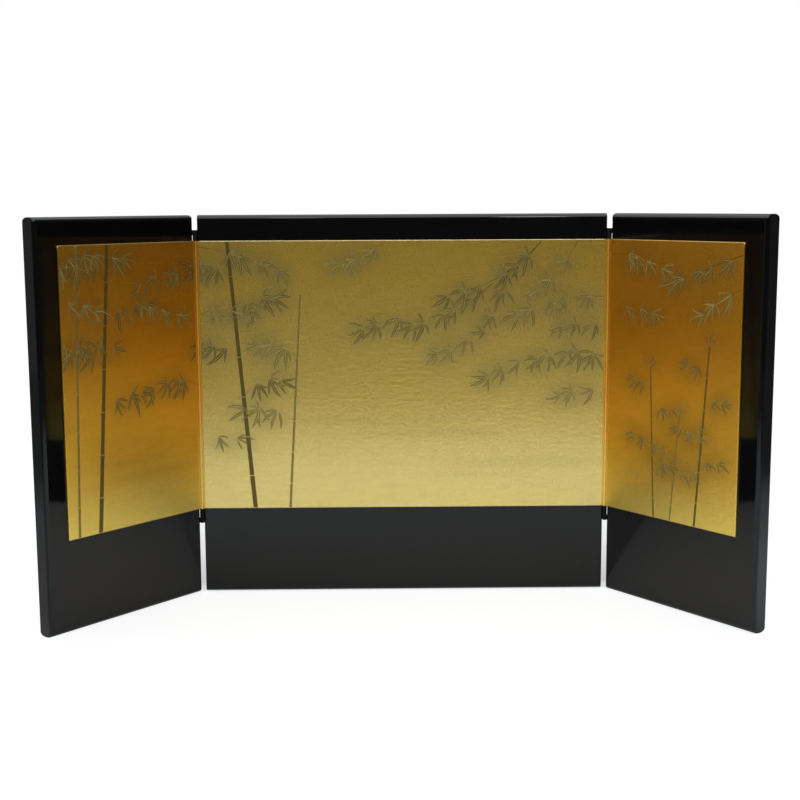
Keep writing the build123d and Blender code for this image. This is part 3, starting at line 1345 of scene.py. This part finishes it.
@dataclass
class PaintedDesign:
    """The bamboo painted across the three pictures, as thin raised paint cut off at each picture's edge."""

    grove: BambooGrove
    sizes: ScreenSizes
    margin: float = 1.0
    sunk: float = 0.02
    leaf_width: float = 0.083
    crease: float = 0.13
    flatness: float = 0.055
    stroke_reach: float = 6.0
    weld: float = 1e-4

    def __post_init__(self) -> None:
        """Builds the node trees."""
        self.leaf_tree = LeafSpray.tree()
        self.stroke_tree = BrushedStroke.tree()

    def grow(self, name: str, seed: Mesh, tree: Tree, values: dict) -> Mesh:
        """Runs a tree on a mesh.

        Args:
            name: The name of the passing object that carries the tree.
            seed: The mesh that the tree starts from.
            tree: The tree.
            values: Its inputs by name.

        Returns:
            The plain result.
        """
        draft = to_scene(name, seed)
        modifier = draft.modifiers.new("paint", "NODES")
        modifier.node_group = tree
        for item in tree.interface.items_tree:
            if item.item_type == "SOCKET" and item.in_out == "INPUT" and item.name in values:
                modifier[item.identifier] = values[item.name]
        return made_plain(draft)

    def clip(self, mesh: Mesh, board: Board) -> None:
        """Cuts off what lies past the picture's edges, and closes the cuts.

        Args:
            mesh: The flat layer of paint.
            board: The board whose picture it lies on.
        """
        low, high = board.unfolded_span(self.sizes)
        s, m = self.sizes, self.margin
        work = bmesh.new()
        work.from_mesh(mesh)
        for spot, out in (
            ((low + m, 0, 0), (-1, 0, 0)),
            ((high - m, 0, 0), (1, 0, 0)),
            ((0, 0, s.picture_low + m), (0, 0, -1)),
            ((0, 0, s.picture_high - m), (0, 0, 1)),
        ):
            parts = [*work.verts, *work.edges, *work.faces]
            plane = Vector(spot) * MM
            bmesh.ops.bisect_plane(
                work, geom=parts, plane_co=plane, plane_no=out, clear_outer=True, dist=self.weld * MM
            )
            bmesh.ops.holes_fill(work, edges=[e for e in work.edges if e.is_boundary], sides=0)
        work.to_mesh(mesh)
        work.free()

    def lay(self, mesh: Mesh, name: str, board: Board, material: Material) -> None:
        """Clips a flat layer of paint, lays it on the board's picture and attaches it.

        Args:
            mesh: The flat layer.
            name: The piece's name.
            board: The board.
            material: The ink.
        """
        self.clip(mesh, board)
        side, depth = -board.side.sign * self.sizes.unfolded_step, self.sunk - self.sizes.picture_thickness
        mesh.transform(board.matrix @ Matrix.Translation((side * MM, depth * MM, 0)))
        mesh.name = name
        attach(to_scene(name, mesh), board.side.body, material)

    def leaves_on(self, board: Board, material: Material) -> Mesh:
        """Makes the leaves that reach one picture.

        Args:
            board: The board.
            material: The ink.

        Returns:
            The flat mesh of all of them.
        """
        low, high = board.unfolded_span(self.sizes)
        near = [leaf for leaf in self.grove.leaves if low - leaf.reach < leaf.foot[0] < high + leaf.reach]
        seed = bpy.data.meshes.new("leaf_feet")
        seed.from_pydata([(leaf.foot[0] * MM, 0.0, leaf.foot[1] * MM) for leaf in near], [], [])
        store(seed, "heading", np.array([leaf.heading for leaf in near]))
        store(seed, "reach", np.array([leaf.reach * MM for leaf in near]))
        store(seed, "tint", np.array([leaf.tint for leaf in near]))
        store(seed, "bend", np.array([leaf.bend for leaf in near]))
        values = {"Leaf Width": self.leaf_width, "Crease Height": self.crease * MM, "Material": material}
        return self.grow("leaves_draft", seed, self.leaf_tree, values)

    def strokes_on(self, board: Board, material: Material) -> Mesh:
        """Makes the strokes that reach one picture.

        Args:
            board: The board.
            material: The ink.

        Returns:
            The flat mesh of all of them.
        """
        low, high = board.unfolded_span(self.sizes)
        start, end = low - self.stroke_reach, high + self.stroke_reach
        near = [stroke for stroke in self.grove.strokes if any(start < x < end for x, _ in stroke.points)]
        points: list[Triple] = []
        edges: list[tuple[int, int]] = []
        for stroke in near:
            first = len(points)
            points.extend((x * MM, 0.0, z * MM) for x, z in stroke.points)
            edges.extend((first + i, first + i + 1) for i in range(len(stroke.points) - 1))
        seed = bpy.data.meshes.new("stroke_lines")
        seed.from_pydata(points, edges, [])
        store(seed, "girth", np.array([g * MM for stroke in near for g in stroke.girths]))
        store(seed, "tint", np.array([stroke.tint for stroke in near for _ in stroke.points]))
        values = {"Flatness": self.flatness, "Material": material}
        return self.grow("strokes_draft", seed, self.stroke_tree, values)

    def dress(self, board: Board, leaf_ink: Material, cane_ink: Material) -> None:
        """Paints one board's picture.

        Args:
            board: The board.
            leaf_ink: The leaves' ink.
            cane_ink: The ink of the canes and twigs.
        """
        side = board.side.value
        self.lay(self.strokes_on(board, cane_ink), f"{side}_painted_canes", board, cane_ink)
        self.lay(self.leaves_on(board, leaf_ink), f"{side}_painted_leaves", board, leaf_ink)


# ---- The hinges ----


@dataclass
class ClothHinge:
    """One hinge: a tape folded to the front between two boards, with gilt paper beside the pictures.

    A place along a board's end is given as how far it is out of the end and behind the board's front.
    """

    board: Board
    center: Board
    sizes: ScreenSizes
    pivot: Vector
    tape_thickness: float = 0.5
    tape_stops: tuple[float, ...] = (14.0, 8.0, 2.0, 1.2, 0.5, -1.0)
    lean_start: float = 2.0
    slit_front: float = 0.5
    fold_radius: float = 0.95
    fold_steps: int = 14
    row_pitch: float = 10.0
    sharp_edge: float = 50.0
    below: float = 16.3
    above: float = 11.8
    slit_below: float = 10.4
    slit_above: float = 6.0
    paper_thickness: float = 0.2
    paper_line: tuple[Pair, ...] = ((-1.1, -0.7), (-0.1, -0.9), (0.15, -1.6))

    def tape_line(self) -> list[Pair]:
        """Draws the tape's middle on each board, which leans out towards the fold.

        Returns:
            Its places along the board's end.
        """
        lean = self.sizes.hinge_gap / 2 - self.fold_radius
        line = []
        for v in self.tape_stops:
            share = max(0.0, (self.lean_start - v) / (self.lean_start + self.sizes.pivot_forward))
            line.append((self.tape_thickness / 2 * (1 - share) + lean * share, v))
        return line

    def run(self, board: Board, end: float, outward: float, line: Sequence[Pair]) -> list[Vector]:
        """Places a line on one board, in the model's axes and in millimetres."""
        return [board.matrix @ Vector(((end + outward * u) * MM, v * MM, 0)) / MM for u, v in line]

    def path(self, line: Sequence[Pair], lift: float) -> list[Vector]:
        """Draws a fold seen from above, from the center board to the side one.

        Args:
            line: The run on each board up to the fold.
            lift: How far the run over the fold lies outside the tape's middle.

        Returns:
            Points in the model's axes, in millimetres.
        """
        sign = self.board.side.sign
        pivot = Vector((self.pivot.x, self.pivot.y, 0)) / MM
        first = self.run(self.center, self.center.high if sign > 0 else self.center.low, sign, line)
        last = self.run(self.board, 0.0, -sign, line)
        from_center = Vector((-sign, 0, 0))
        sweep = from_center.angle(self.board.matrix.to_3x3() @ Vector((sign, 0, 0)))
        fold = []
        for i in range(self.fold_steps + 1):
            turn = Matrix.Rotation(sign * sweep * i / self.fold_steps, 3, "Z")
            fold.append(pivot + turn @ from_center * (self.fold_radius + lift))
        return [*first, *fold, *reversed(last)]

    def rows(self, stops: Sequence[float]) -> list[float]:
        """Spaces rows of points up a strip.

        Args:
            stops: Heights that have a row, from the lowest up.

        Returns:
            Heights through all the stops, at most a pitch apart.
        """
        found: list[float] = []
        for a, b in zip(stops, stops[1:]):
            count = max(1, math.ceil((b - a) / self.row_pitch))
            found.extend(a + (b - a) * i / count for i in range(count))
        return [*found, stops[-1]]

    def slit_faces(self, points: Sequence[Vector], rows: Sequence[float]) -> Cells:
        """Finds what the slits above and below the paper leave out of the tape.

        Args:
            points: The fold's points.
            rows: The heights of the tape's rows.

        Returns:
            The faces, by column and row.
        """
        s = self.sizes
        low, high = s.picture_low, s.picture_high
        spans = ((low - self.slit_below, low), (high, high + self.slit_above))
        back = self.board.matrix.inverted()
        cut = set()
        for i in range(len(points) // 2, len(points) - 1):
            depth = (back @ ((points[i] + points[i + 1]) / 2 * MM)).y / MM
            if not self.slit_front < depth < self.lean_start:
                continue
            for j, (a, b) in enumerate(zip(rows, rows[1:])):
                if any(low < (a + b) / 2 < high for low, high in spans):
                    cut.add((i, j))
        return frozenset(cut)

    def sheet(self, name: str, points: Sequence[Vector], rows: Sequence[float], cut: Cells) -> Mesh:
        """Builds a strip with no thickness along a fold.

        Args:
            name: The mesh's name.
            points: The fold's points.
            rows: The heights of its rows.
            cut: The faces, by column and row, that are left out.

        Returns:
            The mesh, with its flat coordinates in the attribute sheet.
        """
        lengths = [0.0]
        for a, b in zip(points, points[1:]):
            lengths.append(lengths[-1] + (b - a).length)
        work = bmesh.new()
        layer = work.verts.layers.float_vector.new("sheet")
        grid = []
        for z in rows:
            row = []
            for p, along in zip(points, lengths):
                vert = work.verts.new((p.x * MM, p.y * MM, z * MM))
                vert[layer] = Vector((along * MM, z * MM, 0.0))
                row.append(vert)
            grid.append(row)
        for j in range(len(rows) - 1):
            for i in range(len(points) - 1):
                if (i, j) not in cut:
                    corners = (grid[j][i], grid[j][i + 1], grid[j + 1][i + 1], grid[j + 1][i])
                    work.faces.new(corners if self.board.side.sign > 0 else tuple(reversed(corners)))
        bmesh.ops.delete(work, geom=[v for v in work.verts if not v.link_faces], context="VERTS")
        work.normal_update()
        mesh = bpy.data.meshes.new(name)
        work.to_mesh(mesh)
        work.free()
        mesh.polygons.foreach_set("use_smooth", [True] * len(mesh.polygons))
        return mesh

    def thicken(self, name: str, mesh: Mesh, thickness: float) -> Obj:
        """Gives a strip its thickness, half on either side.

        Args:
            name: The piece's name.
            mesh: The strip with no thickness.
            thickness: Its thickness.

        Returns:
            The piece, closed and with sharp outer edges.
        """
        draft = to_scene(f"{name}_draft", mesh)
        solid = draft.modifiers.new("thickness", "SOLIDIFY")
        solid.thickness = thickness * MM
        solid.offset = 0.0
        solid.use_even_offset = True
        final = made_plain(draft)
        final.name = name
        final.set_sharp_from_angle(angle=math.radians(self.sharp_edge))
        return to_scene(name, final)

    def tape(self) -> Obj:
        """Builds the tape, slit above and below the paper.

        Returns:
            The piece.
        """
        low, high = self.sizes.picture_low, self.sizes.picture_high
        under, over = (low - self.below, low - self.slit_below), (high + self.slit_above, high + self.above)
        points, rows = self.path(self.tape_line(), 0.0), self.rows((*under, low, high, *over))
        name = f"{self.board.side.value}_hinge_tape"
        flat = self.sheet(name, points, rows, self.slit_faces(points, rows))
        return self.thicken(name, flat, self.tape_thickness)

    def paper(self) -> Obj:
        """Builds the gilt paper, which is as tall as the pictures and has no wash and no paler, matte rim.

        Returns:
            The piece.
        """
        points = self.path(self.paper_line, (self.tape_thickness + self.paper_thickness) / 2)
        rows = self.rows((self.sizes.picture_low, self.sizes.picture_high))
        name = f"{self.board.side.value}_hinge_paper"
        obj = self.thicken(name, self.sheet(name, points, rows, frozenset()), self.paper_thickness)
        for attribute in ("wash", "rim"):
            store(obj.data, attribute, np.zeros(len(obj.data.vertices)))
        return obj

    def blend(self, obj: Obj) -> Obj:
        """Bakes a strip's placement into its mesh.

        Args:
            obj: The strip.

        Returns:
            The strip.
        """
        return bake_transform(obj)

    def dress(self, tape: Material, paper: Material) -> None:
        """Builds the tape and its paper, and stands them in for the solid halves.

        Args:
            tape: The tape's finish.
            paper: The paper's finish.
        """
        side = self.board.side.value
        for obj, material, slot, node in (
            (self.tape(), tape, "hinge_cloth", "cloth"),
            (self.paper(), paper, "gold_paper", "gilt"),
        ):
            obj.data.materials.append(material)
            self.blend(obj)
            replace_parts(obj, f"{side}_hinge_center_{node}", f"{side}_hinge_side_{node}")
            LOG.info("%s bends between center_panel and %s_panel", obj.name, side)


# ---- Light, floor and camera ----


@dataclass(frozen=True)
class Lamp:
    """A studio lamp: a soft rectangle, or a soft round spot if it has a cone."""

    name: str
    place: Triple
    aim: Triple
    watts: float
    size: Pair = (0.0, 0.0)
    cone: float = 0.0
    bulb: float = 60.0

    def hang(self) -> Obj:
        """Makes the lamp.

        Returns:
            The lamp, which faces the point that it aims at.
        """
        data = bpy.data.lights.new(self.name, "SPOT" if self.cone else "AREA")
        data.energy = self.watts
        if self.cone:
            data.spot_size = math.radians(self.cone)
            data.spot_blend = 1.0
            data.shadow_soft_size = self.bulb * MM
        else:
            data.shape = "RECTANGLE"
            data.size, data.size_y = (length * MM for length in self.size)
        obj = to_scene(self.name, data)
        obj.location = Vector(self.place) * MM
        obj.rotation_euler = (Vector(self.aim) - Vector(self.place)).to_track_quat("-Z", "Y").to_euler()
        return obj


@dataclass
class Studio:
    """A pale floor, a soft sky of studio light and the camera. Spans on the floor are in metres."""

    floor_radius: float = 2600.0
    floor_color: Triple = (0.81, 0.84, 0.855)
    floor_gloss: float = 0.25
    floor_glow: float = 1.08
    floor_reach: Pair = (1150.0, 1650.0)
    floor_fade: Pair = (0.75, 1.15)
    floor_dim: float = 0.16
    left_shade: Pair = (-0.45, -0.30)
    left_dim: float = 0.55
    dim_glow: float = 0.8
    shadow_start: Pair = (-0.015, 0.03)
    shadow_sides: Pair = (0.25, 0.46)
    shadow_reach: float = 0.55
    shadow_depth: float = 1.5
    shadow_samples: int = 8
    sky_color: Triple = (0.96, 0.98, 1.0)
    ceiling_edge: Pair = (0.50, 0.66)
    ceiling_level: float = 1.80
    right_drop: float = 0.35
    left_rise: float = 0.30
    front_rise: float = 0.45
    side_span: Pair = (-0.7, 0.1)
    side_level: float = 0.15
    side_tilt: float = 0.5
    side_low: Pair = (0.02, 0.14)
    side_high_share: float = 0.25
    front_level: float = 0.05
    wall_span: Pair = (0.1, 0.5)
    wall_level: float = 0.35
    camera_place: Triple = (-21.62, -1487.58, 436.43)
    camera_turn: Triple = (-0.699, 8.370, -0.268)
    focal_pixels: float = 1338.40
    image_pixels: float = 800.0
    sensor: float = 36.0
    clip: Pair = (10.0, 100000.0)
    lamps: tuple[Lamp, ...] = (
        Lamp("left_lamp", (-245, -1506, 1594), (-100, 0, 420), 0.9, size=(124, 360)),
        Lamp("right_lamp", (354, -1506, 1594), (100, 0, 420), 2.8, size=(168, 360)),
        Lamp("right_floor_lamp", (700, -500, 1400), (590, -230, 0), 40.0, cone=20.0),
    )

    def camera(self) -> Obj:
        """Makes the scene's camera.

        Returns:
            The camera.
        """
        data = bpy.data.cameras.new("camera")
        data.sensor_width = self.sensor
        data.lens = self.focal_pixels / self.image_pixels * self.sensor
        data.clip_start, data.clip_end = (length * MM for length in self.clip)
        yaw, pitch, roll = (math.radians(a) for a in self.camera_turn)
        across = Vector((math.cos(yaw), math.sin(yaw), 0))
        ahead = Vector((-math.sin(yaw), math.cos(yaw), 0))
        up = Vector((0, 0, 1))
        forward = ahead * math.cos(pitch) - up * math.sin(pitch)
        lifted = ahead * math.sin(pitch) + up * math.cos(pitch)
        right = across * math.cos(roll) + lifted * math.sin(roll)
        top = lifted * math.cos(roll) - across * math.sin(roll)
        obj = to_scene("camera", data)
        turn = Matrix((right, top, -forward)).transposed().to_4x4()
        obj.matrix_world = Matrix.Translation(Vector(self.camera_place) * MM) @ turn
        bpy.context.scene.camera = obj
        return obj

    def floor_shadow(self, wiring: Wiring, place: bpy.types.NodeOutputs) -> Socket:
        """Shades the floor close behind the screen, where the screen hides the sky.

        Args:
            wiring: The floor's material.
            place: The floor's own coordinates.

        Returns:
            The shadow's strength.
        """
        inputs = {"Distance": self.shadow_reach}
        sky = wiring.add("ShaderNodeAmbientOcclusion", inputs, samples=self.shadow_samples).outputs["AO"]
        behind = wiring.remap(place["Y"], self.shadow_start, (0.0, self.shadow_depth), smooth=True)
        beside = wiring.remap(wiring.math("ABSOLUTE", place["X"]), self.shadow_sides, (1.0, 0.0), smooth=True)
        return wiring.times(wiring.math("SUBTRACT", 1.0, sky), wiring.times(behind, beside))

    def floor_material(self) -> Material:
        """Builds the floor's finish: matte to the light, and a near-white to the camera.

        Returns:
            The material.
        """
        material = bpy.data.materials.new("pale_floor")
        material.use_nodes = True
        wiring = Wiring(material.node_tree)
        wiring.tree.nodes.clear()
        place = wiring.split(wiring.add("ShaderNodeTexCoord").outputs["Object"])
        reach = [wiring.math("DIVIDE", place[i], r * MM) for i, r in enumerate(self.floor_reach)]
        flat = wiring.join(*reach, 0.0)
        away = wiring.add("ShaderNodeVectorMath", {0: flat}, operation="LENGTH").outputs["Value"]
        lit = wiring.remap(away, self.floor_fade, (1.0, self.floor_dim), smooth=True)
        side = wiring.remap(place["X"], self.left_shade, (self.left_dim, 1.0), smooth=True)
        shade = wiring.times(lit, side)
        color = wiring.mix(shade, BLACK, rgba(self.floor_color))
        matte = wiring.out("ShaderNodeBsdfPrincipled", {"Base Color": color, "Roughness": self.floor_gloss})
        strength = wiring.remap(self.floor_shadow(wiring, place), UNIT, (self.floor_glow, 0.0))
        glow = wiring.out("ShaderNodeEmission", {"Color": WHITE, "Strength": strength})
        seen = wiring.add("ShaderNodeLightPath").outputs["Is Camera Ray"]
        share = wiring.times(seen, wiring.remap(shade, UNIT, (1.0, self.dim_glow)))
        mixed = wiring.out("ShaderNodeMixShader", {0: share, 1: matte, 2: glow})
        wiring.add("ShaderNodeOutputMaterial", {"Surface": mixed})
        return material

    def floor(self) -> Obj:
        """Makes the pale floor.

        Returns:
            The floor, which is no part of the object.
        """
        mesh = bpy.data.meshes.new("floor")
        work = bmesh.new()
        bmesh.ops.create_circle(work, cap_ends=True, segments=96, radius=self.floor_radius * MM)
        work.to_mesh(mesh)
        work.free()
        mesh.materials.append(self.floor_material())
        obj = to_scene("floor", mesh)
        return obj

    def sky_level(self, wiring: Wiring) -> Socket:
        """Draws the studio: a bright ceiling, dim sides that darken upwards, and a pale wall behind.

        Args:
            wiring: The world's tree.

        Returns:
            How bright the sky is by direction.
        """
        way = wiring.split(wiring.add("ShaderNodeTexCoord").outputs["Generated"])
        right = wiring.math("MULTIPLY", way["X"], self.right_drop, clamp=True)
        left = wiring.math("MULTIPLY", way["X"], -self.left_rise, clamp=True)
        raised = wiring.math("ADD", wiring.math("SUBTRACT", way["Z"], right), left)
        ceiling = wiring.remap(raised, self.ceiling_edge, (0.0, self.ceiling_level), smooth=True)
        ceiling = wiring.times(ceiling, wiring.math("MULTIPLY_ADD", way["Y"], -self.front_rise, 1.0))
        side = wiring.remap(way["Y"], self.side_span, (0.0, self.side_level), smooth=True)
        side = wiring.times(side, wiring.math("MULTIPLY_ADD", way["X"], -self.side_tilt, 1.0))
        low = wiring.remap(way["Z"], self.side_low, (1.0, self.side_high_share), smooth=True)
        wall = wiring.remap(way["Y"], self.wall_span, (0.0, self.wall_level), smooth=True)
        horizon = wiring.math("ADD", wiring.times(side, low), self.front_level)
        return wiring.math("MAXIMUM", ceiling, wiring.math("ADD", horizon, wall))

    def sky(self) -> None:
        """Makes the world: white to the camera, and the studio to everything else."""
        world = bpy.data.worlds.new("studio")
        bpy.context.scene.world = world
        world.use_nodes = True
        wiring = Wiring(world.node_tree)
        wiring.tree.nodes.clear()
        inputs = {"Color": rgba(self.sky_color), "Strength": self.sky_level(wiring)}
        around = wiring.out("ShaderNodeBackground", inputs)
        white = wiring.out("ShaderNodeBackground", {"Color": WHITE, "Strength": 1.0})
        seen = wiring.add("ShaderNodeLightPath").outputs["Is Camera Ray"]
        mixed = wiring.out("ShaderNodeMixShader", {0: seen, 1: around, 2: white})
        wiring.add("ShaderNodeOutputWorld", {"Surface": mixed})

    def build(self) -> None:
        """Sets up the whole studio."""
        bpy.context.scene.view_settings.view_transform = "Standard"
        self.camera()
        self.floor()
        self.sky()
        for lamp in self.lamps:
            lamp.hang()


# ---- The whole screen ----


@dataclass
class FoldingScreen:
    """The screen: three boards, their pictures, two hinges and the wood inside."""

    frame: dict
    sizes: ScreenSizes = field(default_factory=ScreenSizes)
    grove: BambooGrove = field(default_factory=BambooGrove)

    def __post_init__(self) -> None:
        """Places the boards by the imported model's joints."""
        self.boards = {side: Board.of(side, self.sizes, self.frame["joints"]) for side in Side}

    def dress_boards(self) -> None:
        """Builds the lacquered boards and their gilt pictures."""
        lacquer = LacquerFinish().material()
        center_gold = GoldFinish("gold_leaf").material()
        # The side boards' gold is a copy painted in deeper shade: darker and warmer, with the shade starting
        # lower down, as these boards mirror each other's gold.
        shaded_side_gold = GoldFinish(
            "shaded_side_gold_leaf",
            pale=(0.98, 0.75, 0.172),
            amber=(0.96, 0.55, 0.065),
            shaded_top=(0.70, 0.35, 0.033),
            wash=(0.44, 0.26, 0.05),
            edge_tone=(0.50, 0.35, 0.15),
            shade_low_span=(0.085, 0.185),
            shade_high_span=(0.20, 0.31),
        ).material()
        for side, board in self.boards.items():
            LacqueredBoard(board, self.sizes).dress(lacquer)
            gold = center_gold if side is Side.CENTER else shaded_side_gold
            PictureBoard(board, self.sizes).dress(gold, self.grove.wash)

    def paint(self) -> None:
        """Paints the design on all three pictures."""
        silvered = (0.39, 0.305, 0.088)
        leaf_ink = InkFinish("leaf_ink", (0.15, 0.105, 0.024), silvered, vein=(0.95, 0.74, 0.25)).material()
        cane_ink = InkFinish("cane_ink", (0.14, 0.10, 0.024), silvered).material()
        design = PaintedDesign(self.grove, self.sizes)
        for board in self.boards.values():
            design.dress(board, leaf_ink, cane_ink)

    def dress_hinges(self) -> None:
        """Builds both hinges."""
        tape = ClothFinish().material()
        # The hinge paper carries the same painted shade, darker and warmer towards the top.
        paper = GoldFinish(
            "gilt_hinge_paper",
            pale=(1.0, 0.78, 0.22),
            amber=(0.88, 0.50, 0.07),
            shaded_top=(0.72, 0.41, 0.05),
            gloss=(0.42, 0.60),
            crinkle=0.015,
            swell=0.0,
        ).material()
        for joint in self.frame["joints"]:
            board = next(b for b in self.boards.values() if b.side.body == joint["child"])
            hinge = ClothHinge(board, self.boards[Side.CENTER], self.sizes, Vector(joint["pos_m"]))
            hinge.dress(tape, paper)

    def dress_inside(self) -> None:
        """Gives the ribs and dowels inside the boards their bare wood."""
        ribs = WoodFinish("rib_wood", (0.62, 0.45, 0.27), (12.0, 12.0, 160.0)).material()
        dowels = WoodFinish("dowel_wood", (0.68, 0.52, 0.33), (20.0, 20.0, 400.0)).material()
        for name, node in self.frame["nodes"].items():
            for ending, material in (("_ribs", ribs), ("_dowels", dowels)):
                if name.endswith(ending):
                    node.data.materials.clear()
                    node.data.materials.append(material)
                    LOG.info("%s has %s", name, material.name)

    def build(self) -> None:
        """Builds everything in order."""
        self.dress_boards()
        self.paint()
        self.dress_hinges()
        self.dress_inside()


def main() -> None:
    """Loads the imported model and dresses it."""
    logging.basicConfig(level=logging.INFO, format="%(name)s: %(message)s")
    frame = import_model()
    FoldingScreen(frame).build()
    Studio().build()


if __name__ == "__main__":
    main()
